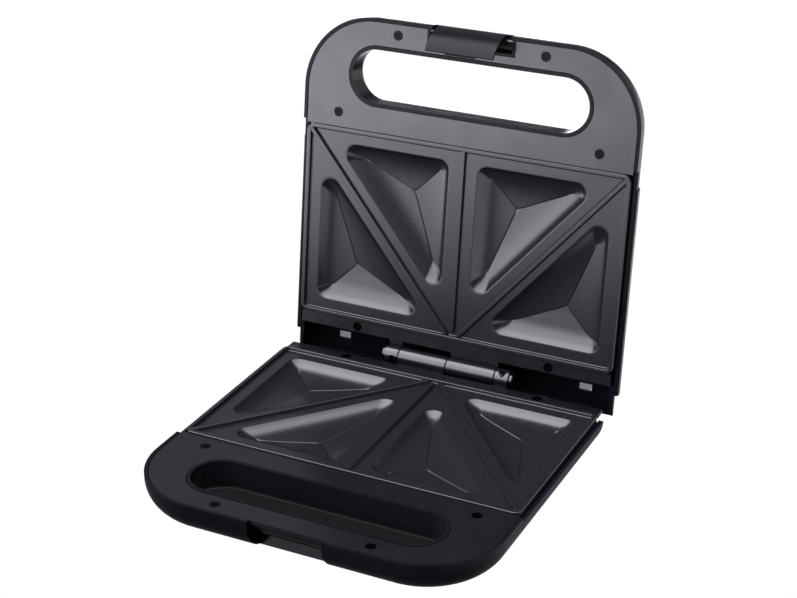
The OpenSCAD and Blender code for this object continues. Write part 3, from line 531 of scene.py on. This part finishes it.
def pocket_fall(left):
    """Depth below the land; left is the share of the way to the middle that is left."""
    wall = 1 - (left ** SLOW_POWER + left ** QUICK_POWER) / 2
    return FLOOR_DIP * (1 - left) + POCKET_DEPTH * wall


def crease_sinks(count, depth):
    """How far each point of a pocket's ring sinks: most in the middle of its corners."""
    per_corner = count // 3
    last = per_corner - 1
    return [depth * (1 - abs(2 * (i % per_corner) / last - 1)) for i in range(count)]


def pocket(surface, triangle, top, steps, wider=0.0, lip=0.0, crease=0.0):
    """Rings of a pocket from its rim to its middle, and the tip that closes them."""
    reach = inradius(triangle)
    ways = [(reach - TIP_REACH) * (k / steps) ** CROWDING for k in range(steps + 1)]
    rows = [(way, pocket_fall(1 - way / reach)) for way in ways]
    if lip:
        rows = [(share * lip, drop) for share, drop in LIP_ROWS] + rows[LIP_REPLACES:]
    rings = []
    for way, drop in rows:
        radius = max(CREASE_R, POCKET_R * (1 - max(way, 0) / CREASE_RUN))
        points = rounded(inset(triangle, way - wider), radius)
        sunk = min(1.0, max(0.0, way / CREASE_RUN - CREASE_FROM) / (1 - CREASE_FROM))
        sinks = crease_sinks(len(points), crease * sunk)
        rings.append([surface.point(p, top - drop - sink) for p, sink in zip(points, sinks)])
    tip = surface.point(incentre(triangle), top - pocket_fall(0) - crease / 2)
    return rings, tip


def ridge(surface, start, end):
    """Low rib with rounded edges and round ends."""
    along = (end - start).normalized()
    turn = math.atan2(along.y, along.x)
    ends = [(end, turn - math.pi / 2), (start, turn + math.pi / 2)]
    shoulder = RIDGE_TOP - RIDGE_EDGE_R
    rows = [
        (RIDGE_HALF + RIDGE_FLARE, LAND - RIDGE_SINK),
        (RIDGE_HALF, LAND),
        (RIDGE_FLAT_HALF + RIDGE_EDGE_R, shoulder)]
    for a in arc(*RIDGE_ARC):
        half = RIDGE_FLAT_HALF + RIDGE_EDGE_R * math.cos(a)
        rows.append((half, shoulder + RIDGE_EDGE_R * math.sin(a)))
    rings = []
    for half, z in rows:
        points = [
            around(centre, first + k * math.pi / RIDGE_END_STEPS, half)
            for centre, first in ends for k in range(RIDGE_END_STEPS + 1)]
        rings.append(surface.ring(points, z))
    surface.rings(rings)
    surface.faces.append(tuple(rings[-1]))
    surface.faces.append(tuple(reversed(rings[0])))


def screw_boss(surface, x, y):
    """Post under the plate, with a blind screw hole from below."""
    def circle(r):
        angles = arc(0, math.tau, BOSS_SIDES)[:-1]
        return [flat(x + r * math.cos(a), y + r * math.sin(a)) for a in angles]
    outer = [surface.ring(circle(BOSS_R), z) for z in (BOSS_END, UNDERSIDE + BOSS_SINK)]
    inner = [surface.ring(circle(BOSS_HOLE_R), z) for z in (UNDERSIDE - BOSS_HOLE_STOP, BOSS_END)]
    surface.band(*outer)
    surface.rings([inner[0], inner[1], outer[0]])
    surface.faces.append(tuple(inner[0][::-1]))
    surface.faces.append(tuple(outer[1]))


def rim_rows():
    """Section of the plate's edge and rim, as (distance inside the edge, height)."""
    edge, foot = RIM_EDGE_R, RIM_FOOT_R
    top = RIM_TOP - edge
    inner = RIM_W - edge
    slope_end = RIM_W + RIM_RUN + foot
    rows = [(0.0, UNDERSIDE), (0.0, top)]
    for a in arc(*RIM_OUTER_ARC):
        rows.append((edge - edge * math.cos(a), top + edge * math.sin(a)))
    for a in arc(*RIM_INNER_ARC):
        rows.append((inner + edge * math.sin(a), top + edge * math.cos(a)))
    for a in arc(*RIM_FOOT_ARC):
        rows.append((slope_end - foot * math.cos(a), LAND + foot - foot * math.sin(a)))
    return rows


def right_pockets(start, end):
    """Triangles of the two pockets beside the slanting ridge that runs start to end."""
    along = (end - start).normalized()
    side = flat(-along.y, along.x)
    front_line = start - side * FRONT_POCKET_TO_SLANT
    back_line = start + side * BACK_POCKET_TO_SLANT

    def at_x(line, x):
        return flat(x, line.y + (x - line.x) * along.y / along.x)

    def at_y(line, y):
        return flat(line.x + (y - line.y) * along.x / along.y, y)

    near, far = PLATE_FRONT + FRONT_POCKET_TO_FRONT, PLATE_REAR - BACK_POCKET_TO_REAR
    inner, outer = FRONT_POCKET_TO_MIDDLE, PLATE_HALF - BACK_POCKET_TO_SIDE
    front = [flat(inner, near), at_y(front_line, near), at_x(front_line, inner)]
    back = [flat(outer, far), at_y(back_line, far), at_x(back_line, outer)]
    return [front, back]


def plate_surface():
    """One plate: rim, four pockets, three ridges and four screw bosses."""
    surface = Surface()
    rim = [
        surface.ring(plate_outline(d, max(RIM_CORNER_R, PLATE_R - d)), z) for d, z in rim_rows()]
    surface.rings(rim)

    start = flat(SLANT_REAR_X, PLATE_REAR - SLANT_REAR_END)
    end = flat(PLATE_HALF - SLANT_FRONT_SIDE, PLATE_FRONT + SLANT_FRONT_END)
    pockets = right_pockets(start, end)
    pockets += [[flat(-p.x, p.y) for p in reversed(triangle)] for triangle in pockets]
    lips, shells = [], []
    for triangle in pockets:
        inside, tip = pocket(surface, triangle, LAND, INSIDE_STEPS, lip=LIP, crease=CREASE_DEPTH)
        surface.rings(inside)
        surface.close(inside[-1], tip)
        lips.append(inside[0])
        outside, tip = pocket(surface, triangle, UNDERSIDE, SHELL_STEPS, wider=SHELL_OUT)
        outside = [row[::-1] for row in outside]
        surface.rings(outside)
        surface.close(outside[-1], tip)
        shells.append(outside[0][::-1])
    surface.sheet(rim[-1], lips, True)
    surface.sheet(rim[0], shells, False)

    for side in (-1, 1):
        ridge(surface, flat(side * start.x, start.y), flat(side * end.x, end.y))
        screw_boss(surface, side * (PLATE_HALF - REAR_BOSS_SIDE), PLATE_REAR - REAR_BOSS_END)
        screw_boss(surface, side * (PLATE_HALF - FRONT_BOSS_SIDE), PLATE_FRONT + FRONT_BOSS_END)
    ridge(surface, flat(0, PLATE_REAR - MIDDLE_RIDGE_END), flat(0, PLATE_FRONT + RIM_W))
    return surface


def in_base(v):
    return Vector((v[0], v[1] + HINGE_Y, v[2] + HINGE_Z)) * MM


def in_lid(v):
    """The base's point turned over, and swung open round the hinge."""
    y, z = v[1], -v[2]
    return Vector((
        v[0],
        HINGE_Y + y * math.cos(OPEN) + z * math.sin(OPEN),
        HINGE_Z - y * math.sin(OPEN) + z * math.cos(OPEN))) * MM


def plate_piece(name, node, body, place, flip, finish):
    """The fine plate that stands in for a CAD plate; flip turns its faces for the lid."""
    surface = plate_surface()
    mesh = bpy.data.meshes.new(name)
    faces = [face[::-1] for face in surface.faces] if flip else surface.faces
    mesh.from_pydata([place(v) for v in surface.verts], [], faces)
    shape = bmesh.new()
    shape.from_mesh(mesh)
    for edge in shape.edges:
        edge.smooth = len(edge.link_faces) == 2 and edge.calc_face_angle() < SMOOTH_BELOW
    for face in shape.faces:
        face.smooth = True
    shape.to_mesh(mesh)
    shape.free()
    piece = bpy.data.objects.new(name, mesh)
    bpy.context.scene.collection.objects.link(piece)
    even = piece.modifiers.new("even", "WEIGHTED_NORMAL")
    even.keep_sharp = True
    mesh.materials.append(finish)
    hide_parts(node)
    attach(piece, body)


# ---------------------------------------------------------------- CAD nodes

# Widths of the soft edges on the mouldings and on the screw heads
EDGE_W = 0.35
SCREW_EDGE_W = 0.3
EDGE_SEGMENTS = 3
# Points nearer than this are joined. Faces within the first angle count as one flat
# face, and edges over the second are softened. Weight 100 lets big faces lead.
WELD_GAP = 0.005
FLAT_BELOW = math.radians(0.6)
SHARP_ABOVE = math.radians(32)
BIG_FACES_LEAD = 100


def dress(name, finish):
    obj = nodes[name]
    obj.data.materials.clear()
    obj.data.materials.append(finish)


def soften(name, width):
    """Rounds the sharp edges of a CAD node so that they catch the light."""
    obj = nodes[name]
    weld = obj.modifiers.new("weld", "WELD")
    weld.merge_threshold = WELD_GAP * MM
    plain = obj.modifiers.new("plain", "DECIMATE")
    plain.decimate_type = "DISSOLVE"
    plain.angle_limit = FLAT_BELOW
    bevel = obj.modifiers.new("bevel", "BEVEL")
    bevel.width = width * MM
    bevel.segments = EDGE_SEGMENTS
    bevel.limit_method = "ANGLE"
    bevel.angle_limit = SHARP_ABOVE
    bevel.harden_normals = True
    even = obj.modifiers.new("even", "WEIGHTED_NORMAL")
    even.keep_sharp = True
    even.weight = BIG_FACES_LEAD


for finish, names in FINISHES:
    for name in names:
        dress(name, finish)

plate_piece("base_plate_face", "base_plate", "base", in_base, False, nonstick)
plate_piece("lid_plate_face", "lid_plate", "lid", in_lid, True, nonstick)

for name in ("base_frame", "lid_frame", "base_shell", "lid_shell", "lid_panel", "latch"):
    soften(name, EDGE_W)
for name in ("base_frame_screws", "lid_frame_screws"):
    soften(name, SCREW_EDGE_W)


# ---------------------------------------------------------------- studio

# What the camera sees of the table and of the room
WHITE = 1.1
FLOOR_REACH = 6.0

# Painted shadow on the floor: one behind the lid, which shows through the steam slots, and one
# under the base, which shows through its handle opening. Each gives x from and to, y from and to,
# soft edge, and how much it takes from the white
SHADOW_BEHIND_LID = (-0.127, 0.084, 0.06, 0.2, 0.01, 0.9)
SHADOW_UNDER_BASE = (-0.098, 0.094, -0.096, 0.075, 0.012, 1.085)

# What the toaster mirrors of the table: dark, but for a glow to the left and one to the
# right. Each span says where a glow or a growth of it sets in and where it is full, by
# x or by the distance from the toaster.
TABLE_COLOUR = (0.92, 0.94, 1.0, 1.0)
TABLE_DARK = 0.14
LEFT_GLOW, RIGHT_GLOW = 3.15, 1.8
LEFT_BY_X = (0.05, -0.15)
LEFT_BY_DISTANCE = (0.14, 0.6)
RIGHT_BY_X = (0.1, 0.2)
NEAR_SHARE, FAR_GROWTH, FAR_BY_DISTANCE = 1.3, 0.65, (0.95, 1.2)
SIDE_SHARE, SIDE_GROWTH, SIDE_BY_X = 0.35, 0.65, (-0.2, -0.7)

# What the toaster mirrors of the room: strengths of the lights, and for each the
# direction it is measured along and the span there over which it sets in. The roof is
# where its three edges are all past, and the crown is its brighter part.
ROOM_COLOUR = (0.93, 0.94, 1.0, 1.0)
ROOM_DARK = 0.025
ROOF_GLOW, CROWN_GLOW, REAR_GLOW, REAR_LEFT_GLOW = 6.0, 2.5, 1.2, 0.25
ROOF_FRONT = ((-0.9, 0.3, 1.0), (0.0, 0.35))
ROOF_BACK = ((0.0, -1.0, 1.0), (0.35, 0.85))
ROOF_LEFT = ((1.0, 0.0, 0.0), (-0.92, -0.8))
CROWN = ((-0.3, -0.1, 0.95), (0.78, 1.0))
REAR = ((0.62, 0.72, 0.3), (0.75, 0.95))
REAR_LEFT = ((-0.4, 0.81, 0.43), (0.85, 0.97))

# The camera, as fitted to the photo: angles in degrees, place in metres
CAMERA_AZIMUTH, CAMERA_ELEVATION, CAMERA_ROLL = 26.03, 25.25, 0.09
CAMERA_PLACE = (0.42892, -0.86676, 0.56913)
CAMERA_LENS = 81.98
SENSOR_W = 36.0
CLIP_NEAR, CLIP_FAR = 0.05, 50.0


def table_seen(paint, x, y):
    """White, less the two patches of painted shadow behind the lid and under the base."""
    seen = WHITE
    for x0, x1, y0, y1, soft, shade in (SHADOW_BEHIND_LID, SHADOW_UNDER_BASE):
        # Each patch is a painted shadow that takes its share from the white
        patch = paint.product(
            paint.smooth(x, x0, x0 + soft), paint.smooth(x, x1, x1 - soft),
            paint.smooth(y, y0, y0 + soft), paint.smooth(y, y1, y1 - soft))
        seen = paint.total(seen, paint.product(patch, -shade))
    return seen


def table_mirrored(paint, x):
    """Dark near the toaster, bright farther off to the left and to the right."""
    away = paint.length(paint.place)
    farther = paint.product(paint.smooth(away, *FAR_BY_DISTANCE), FAR_GROWTH)
    sideways = paint.product(paint.smooth(x, *SIDE_BY_X), SIDE_GROWTH)
    left = paint.product(
        paint.smooth(away, *LEFT_BY_DISTANCE), paint.smooth(x, *LEFT_BY_X),
        paint.total(NEAR_SHARE, farther), paint.total(SIDE_SHARE, sideways))
    right = paint.smooth(x, *RIGHT_BY_X)
    glow = paint.total(TABLE_DARK, paint.product(left, LEFT_GLOW), paint.product(right, RIGHT_GLOW))
    return paint.product(glow, paint.first_bounce(FIRST_ON_MESH))


def stage_floor():
    """Table that gives its own light: one pattern to the camera, another to reflections."""
    mesh = bpy.data.meshes.new("floor")
    signs = ((-1, -1), (1, -1), (1, 1), (-1, 1))
    corners = [(FLOOR_REACH * x, FLOOR_REACH * y, 0.0) for x, y in signs]
    mesh.from_pydata(corners, [], [(0, 1, 2, 3)])
    floor = bpy.data.objects.new("floor", mesh)
    bpy.context.scene.collection.objects.link(floor)
    paint = Graph("floor")
    x = paint.along(paint.place, (1.0, 0.0, 0.0))
    y = paint.along(paint.place, (0.0, 1.0, 0.0))
    strength = paint.to_camera(table_seen(paint, x, y), table_mirrored(paint, x))
    paint.into("Emission Strength", strength)
    paint.fixed("Emission Color", TABLE_COLOUR)
    paint.fixed("Base Color", (0.0, 0.0, 0.0, 1.0))
    paint.fixed("Roughness", 1.0)
    paint.fixed("Specular IOR Level", 0.0)
    mesh.materials.append(paint.mat)


def world():
    """Soft light from overhead and the front left, less from the back, in a dark room."""
    studio = bpy.data.worlds.new("studio")
    studio.use_nodes = True
    sky = Nodes(studio.node_tree)
    way = sky.add("ShaderNodeTexCoord").outputs["Generated"]

    def light(direction, edge):
        return sky.smooth(sky.along(way, direction), *edge)

    roof = sky.product(light(*ROOF_FRONT), light(*ROOF_BACK), light(*ROOF_LEFT))
    glow = sky.total(
        ROOM_DARK,
        sky.product(roof, ROOF_GLOW),
        sky.product(roof, light(*CROWN), CROWN_GLOW),
        sky.product(light(*REAR), REAR_GLOW),
        sky.product(light(*REAR_LEFT), REAR_LEFT_GLOW))
    mirrored = sky.product(glow, sky.first_bounce(FIRST_ON_WORLD))
    back = studio.node_tree.nodes["Background"]
    back.inputs["Color"].default_value = ROOM_COLOUR
    sky.link(sky.to_camera(WHITE, mirrored), back.inputs["Strength"])
    bpy.context.scene.world = studio


def camera():
    angles = (CAMERA_AZIMUTH, CAMERA_ELEVATION, CAMERA_ROLL)
    azimuth, elevation, roll = (math.radians(angle) for angle in angles)
    level = math.cos(elevation)
    ahead = Vector((-math.sin(azimuth) * level, math.cos(azimuth) * level, -math.sin(elevation)))
    right = ahead.cross(Vector((0.0, 0.0, 1.0))).normalized()
    down = ahead.cross(right)
    side = right * math.cos(roll) + down * math.sin(roll)
    up = right * math.sin(roll) - down * math.cos(roll)
    data = bpy.data.cameras.new("camera")
    data.sensor_width = SENSOR_W
    data.lens = CAMERA_LENS
    data.clip_start, data.clip_end = CLIP_NEAR, CLIP_FAR
    cam = bpy.data.objects.new("camera", data)
    turn = Matrix((side, up, -ahead)).transposed().to_4x4()
    cam.matrix_world = Matrix.Translation(CAMERA_PLACE) @ turn
    bpy.context.scene.collection.objects.link(cam)
    bpy.context.scene.camera = cam


stage_floor()
world()
camera()
bpy.context.scene.view_settings.view_transform = "Standard"
